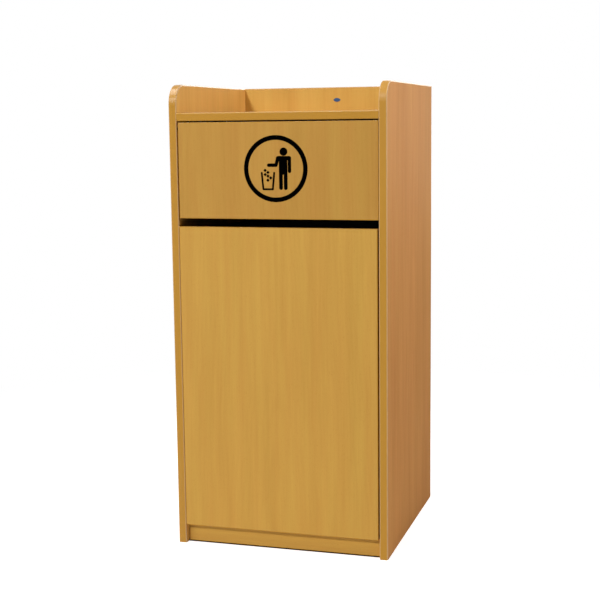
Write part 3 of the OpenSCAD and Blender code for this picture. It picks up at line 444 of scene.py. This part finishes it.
finishes = {
    # The left side panel takes a lighter copy of the side beech: painted light for the brighter light on
    # its inner face
    "lightened_left_side_wood": laminate("lightened_left_side_wood", {
        **sideBoard, "seed": 11.0, "heart": -0.08, "pale": (233, 185, 104), "deep": (215, 165, 90)}),
    "right_side_wood": laminate("right_side_wood", {
        **sideBoard, "seed": 23.0, "heart": 0.05, "depth": 0.07}),
    "door_wood": laminate("door_wood", {"seed": 31.0, "heart": -0.01, "depth": 0.035}),
    "flap_wood": laminate("flap_wood", {
        "seed": 47.0, "heart": -0.19, "pale": (191, 147, 69), "deep": (176, 127, 57)}),
    "kick_wood": laminate("kick_wood", {"seed": 53.0, "across": "Z", "along": "X", "heart": 0.2}),
    # The raised back takes a lighter, yellower copy of the beech: painted light for the light it gets
    # above the tray
    "lightened_back_wood": laminate("lightened_back_wood", {
        "seed": 61.0, "heart": 0.11, "pale": (208, 168, 88), "deep": (192, 146, 71)}),
    "tray_wood": laminate("tray_wood", {"seed": 71.0, "across": "Y", "through": "Z", "along": "X"}),
    "floor_panel_wood": laminate("floor_panel_wood", {
        "seed": 83.0, "across": "Y", "through": "Z", "along": "X"}),
    # The side bands carry the painted highlight on both their arrises
    "left_edging": edging("left_edging", {"arrises": bandSides("left_side_edge_band")}),
    "right_edging": edging("right_edging", {
        "seed": 4.4, "roughness": 0.45, "arrises": bandSides("right_side_edge_band")}),
    "tray_edging": edging("tray_edging", {"across": "Z", "along": "X", "seed": 3.0}),
    "back_edging": edging("back_edging", {"across": "Y", "through": "Z", "along": "X", "seed": 6.0}),
    "upright_tape": edging("upright_tape", {"seed": 9.0}),
    "level_tape": edging("level_tape", {"across": "Z", "along": "X", "seed": 12.0}),
    "bare_wood": laminate("bare_wood", {
        "pale": (214, 184, 134), "deep": (190, 154, 102), "seed": 91.0, "bandWidth": 0.004,
        "gloss": 0.05}),
    # Near black brown for the flap's stop rail: painted shade, so that the gap above the flap looks dark
    "dark_paint": speckled("dark_paint", {
        **plain, "pale": (34, 24, 17), "deep": (24, 17, 12), "roughness": 0.7, "gloss": 0.1}),
    "blackened_steel": speckled("blackened_steel", {
        **plain, "pale": (52, 52, 54), "deep": (36, 36, 38), "metal": 1.0}),
    "nickel_plate": speckled("nickel_plate", {
        **plain, "pale": (206, 203, 196), "deep": (176, 172, 164), "metal": 1.0, "roughness": 0.28}),
    "screw_steel": speckled("screw_steel", {
        **plain, "pale": (186, 184, 176), "deep": (150, 148, 142), "metal": 1.0, "roughness": 0.36}),
    "cast_zinc": speckled("cast_zinc", {
        **plain, "pale": (168, 168, 166), "deep": (138, 138, 138), "metal": 1.0, "bump": 0.6}),
    "dark_nylon": speckled("dark_nylon", {
        **plain, "pale": (44, 36, 30), "deep": (32, 26, 22), "roughness": 0.6, "gloss": 0.2}),
    "bumper_rubber": speckled("bumper_rubber", {
        **plain, "pale": (58, 57, 55), "deep": (38, 37, 36), "roughness": 0.75, "gloss": 0.3}),
    "catch_plastic": speckled("catch_plastic", {
        **plain, "pale": (92, 58, 36), "deep": (70, 42, 26), "roughness": 0.42}),
    "bin_plastic": speckled("bin_plastic", {
        **plain, "pale": (40, 40, 42), "deep": (29, 29, 31), "cloudSize": 0.08,
        "roughness": 0.55, "bump": 0.7}),
    "black_vinyl": speckled("black_vinyl", {
        **plain, "pale": (3, 3, 3), "deep": (1, 1, 1), "roughness": 0.8, "gloss": 0.0, "bump": 0.1}),
    "blue_badge": speckled("blue_badge", {
        **plain, "pale": (30, 78, 128), "deep": (18, 56, 102), "roughness": 0.3, "coat": 0.4,
        "bump": 0.1}),
}

# Which nodes take which finish
finishOf = {
    "lightened_left_side_wood": ["left_side_panel"],
    "right_side_wood": ["right_side_panel"],
    "door_wood": ["door_panel"],
    "flap_wood": ["flap_panel"],
    "kick_wood": ["kick_plate"],
    "lightened_back_wood": ["back_panel"],
    "tray_wood": ["tray_top"],
    "floor_panel_wood": ["bottom_panel"],
    "left_edging": ["left_side_edge_band"],
    "right_edging": ["right_side_edge_band"],
    "tray_edging": ["tray_edge_band"],
    "back_edging": ["back_top_edge_band"],
    "upright_tape": [
        "flap_left_edge_band", "flap_right_edge_band", "door_left_edge_band", "door_right_edge_band",
        "left_rear_edge_tape", "right_rear_edge_tape"],
    "level_tape": [
        "flap_top_edge_band", "flap_bottom_edge_band", "door_top_edge_band", "door_bottom_edge_band",
        "kick_lower_edge_tape", "bottom_edge_tape"],
    "bare_wood": ["assembly_dowels"],
    # painted shade behind the gap above the flap
    "dark_paint": ["flap_stop_rail"],
    "blackened_steel": ["left_pivot_pin", "right_pivot_pin"],
    "nickel_plate": [
        "upper_hinge_cup", "lower_hinge_cup", "upper_hinge_link", "lower_hinge_link",
        "upper_hinge_arm", "lower_hinge_arm", "upper_hinge_plate", "lower_hinge_plate",
        "catch_strike"],
    "screw_steel": [
        "hinge_cup_screws", "hinge_arm_screws", "hinge_plate_screws", "flap_stop_screws",
        "catch_screws", "strike_screws", "cam_bolts", "carcass_screws"],
    "cast_zinc": ["cam_locks"],
    "dark_nylon": ["left_pivot_bush", "right_pivot_bush"],
    "bumper_rubber": ["flap_stop_bumpers", "door_bumpers"],
    "catch_plastic": ["catch_body"],
    "bin_plastic": ["inner_bin"],
    "black_vinyl": ["litter_sign"],
    "blue_badge": ["oval_badge"],
}

for finish, members in finishOf.items():
    for member in members:
        for materialSlot in nodes[member].material_slots:
            materialSlot.material = finishes[finish]
dressed = {member for members in finishOf.values() for member in members}
undressed = sorted(set(nodes) - dressed)
print("finishes:", len(finishes), "undressed nodes:", undressed)


# A closed skin from rings of points: rings[k, j] is point j of ring k. Neighbouring rings are joined by
# four-sided faces, and the first and last rings are filled. A ring runs anticlockwise about the way
# from the first ring to the last.
def ringSkin(name, rings, finish, sharpAngle=35):
    count, around = rings.shape[:2]
    here = np.arange(around)
    following = np.roll(here, -1)
    start = np.arange(count - 1)[:, None] * around
    quads = np.stack([
        start + here, start + following, start + around + following, start + around + here], axis=-1)
    last = here + (count - 1) * around
    faces = quads.reshape(-1, 4).tolist() + [here[::-1].tolist(), last.tolist()]
    mesh = bpy.data.meshes.new(name)
    mesh.from_pydata(rings.reshape(-1, 3).tolist(), [], faces)
    mesh.polygons.foreach_set("use_smooth", np.ones(len(mesh.polygons), dtype=bool))
    mesh.set_sharp_from_angle(angle=math.radians(sharpAngle))
    mesh.materials.append(finish)
    piece = bpy.data.objects.new(name, mesh)
    bpy.context.scene.collection.objects.link(piece)
    return piece


# An arc of a profile from one angle to another, in degrees: the centre plus the radius times the
# cosine and the sine of the angle
def arc(centre, radius, start, end, count=7):
    angle = np.radians(np.linspace(start, end, count))
    return np.stack([centre[0] + radius * np.cos(angle), centre[1] + radius * np.sin(angle)], axis=-1)


# Moulded inner bin, in metres; offsets are measured outwards from the tapered outer wall
binLook = {
    "footWidth": 0.380, "rimWidth": 0.455, "corner": 0.045, "wall": 0.0032, "floor": 0.004,
    "lip": 0.014, "lipDrop": 0.018, "lipRound": 0.004,
    "chamfer": 0.001, "chamferShare": 0.3,  # lower edge of the lip: height, and width in wall thicknesses
    "footRecess": 0.005, "footLand": 0.016, "footRound": 0.006, "floorRound": 0.018,
    "floorReach": 0.034,  # how far the foot and the floor are drawn in before they are filled
    "beadHeights": (0.14, 0.30, 0.60), "bead": 0.0016, "beadHalf": 0.006,
    "around": 128, "rows": 90,
}


# The bin's wall is a square with round corners that widens from foot to rim. A ring at height z and
# offset d is: corner centre plus radius times direction, where the corner centre is the quadrant of the
# direction times (half width minus corner radius), and both half width and radius grow by d.
def makeBin(look, box):
    low, high = box
    height = high.z - low.z
    footHalf = look["footWidth"] / 2
    slope = (look["rimWidth"] / 2 - look["lip"] - footHalf) / height
    wall, lip, rounding = look["wall"], look["lip"], look["lipRound"]
    foot, land, recess = look["footRound"], look["footLand"], look["footRecess"]
    floor, hollow, reach = look["floor"], look["floorRound"], look["floorReach"]
    chamfer = look["chamferShare"] * wall
    lipFoot = height - look["lipDrop"]
    rows = np.linspace(foot, height - wall, look["rows"])
    beads = look["bead"] * sum(
        np.exp(-((rows - at) / look["beadHalf"]) ** 2) for at in look["beadHeights"])
    outside = np.stack([beads, rows], axis=-1)
    inside = np.stack([beads - wall, rows], axis=-1)[::-1]
    inside = inside[(inside[:, 1] > floor + hollow) & (inside[:, 1] < height - rounding)]
    profile = np.concatenate([
        [(-reach, recess), (-foot - land - recess, recess), (-foot - land, 0)],
        arc((-foot, foot), foot, -90, 0),
        outside[1:],
        [(lip - wall, height - wall), (lip - wall, lipFoot + look["chamfer"])],
        [(lip - wall + chamfer, lipFoot), (lip - chamfer, lipFoot), (lip, lipFoot + look["chamfer"])],
        arc((lip - rounding, height - rounding), rounding, 0, 90),
        arc((-wall + rounding, height - rounding), rounding, 90, 180),
        inside,
        arc((-wall - hollow, floor + hollow), hollow, 0, -90),
        [(-reach, floor)],
    ])
    offset, climb = profile[:, :1], profile[:, 1:]
    turn = np.linspace(0, 2 * np.pi, look["around"], endpoint=False) + np.pi / look["around"]
    east, north = np.cos(turn), np.sin(turn)
    half = footHalf + slope * climb + offset
    radius = look["corner"] + offset
    middleX, middleY = (low.x + high.x) / 2, (low.y + high.y) / 2
    rings = np.stack([
        middleX + np.sign(east) * (half - radius) + radius * east,
        middleY + np.sign(north) * (half - radius) + radius * north,
        low.z + climb + 0 * east,
    ], axis=-1)
    return ringSkin("moulded_inner_bin", rings, finishes["bin_plastic"])


innerBin = makeBin(binLook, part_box("inner_bin"))
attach(innerBin, "cabinet")
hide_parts("inner_bin")
print("inner bin:", len(innerBin.data.polygons), "faces")

# Hinge links, in metres: the eye is the round end about each pin, the neck the bar between them
linkLook = {
    "eye": 0.004, "neck": 0.0017, "squareness": 8, "around": 28, "rows": 90,
    "tipAngle": 0.12,  # radians of the swing left out at each tip, where the eye closes
    "hold": 0.8,  # how far from the pins the bend starts and ends, in eye radii
}


# A link lies between the arm's pin and the cup's pin. Its half thickness is the larger of the neck and
# the eyes' circles, root of (eye squared minus distance squared), and its cross section is the curve
# |u|^n + |v|^n = 1. Its row count is high.
def makeLink(name, look, box):
    low, high = box
    eye = look["eye"]
    armPin = np.array([low.x + eye, high.y - eye])
    cupPin = np.array([high.x - eye, low.y + eye])
    reach = np.linalg.norm(cupPin - armPin)
    ahead = (cupPin - armPin) / reach
    aside = np.array([-ahead[1], ahead[0]])
    swing = np.linspace(look["tipAngle"], np.pi - look["tipAngle"], look["rows"])
    along = reach / 2 - (reach / 2 + eye) * np.cos(swing)
    nearest = np.minimum(abs(along), abs(along - reach))
    circle = np.sqrt(np.maximum(eye ** 2 - nearest ** 2, 0))
    between = (along > 0) & (along < reach)
    thickness = np.where(between, np.maximum(circle, look["neck"]), circle)[:, None]
    turn = np.linspace(0, 2 * np.pi, look["around"], endpoint=False)
    east, north = np.cos(turn), np.sin(turn)
    squareness = look["squareness"]
    square = (abs(east) ** squareness + abs(north) ** squareness) ** (-1 / squareness)
    sideways = thickness * (east * square)
    rings = np.stack([
        armPin[0] + along[:, None] * ahead[0] + sideways * aside[0],
        armPin[1] + along[:, None] * ahead[1] + sideways * aside[1],
        (low.z + high.z) / 2 + (high.z - low.z) / 2 * (north * square) + 0 * along[:, None],
    ], axis=-1)
    link = ringSkin(name, rings, finishes["nickel_plate"], sharpAngle=50)
    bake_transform(link)
    return link


for level in ("upper", "lower"):
    node = level + "_hinge_link"
    bentLink = makeLink(level + "_bent_link", linkLook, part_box(node))
    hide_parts(node)
print("hinge links: 2")
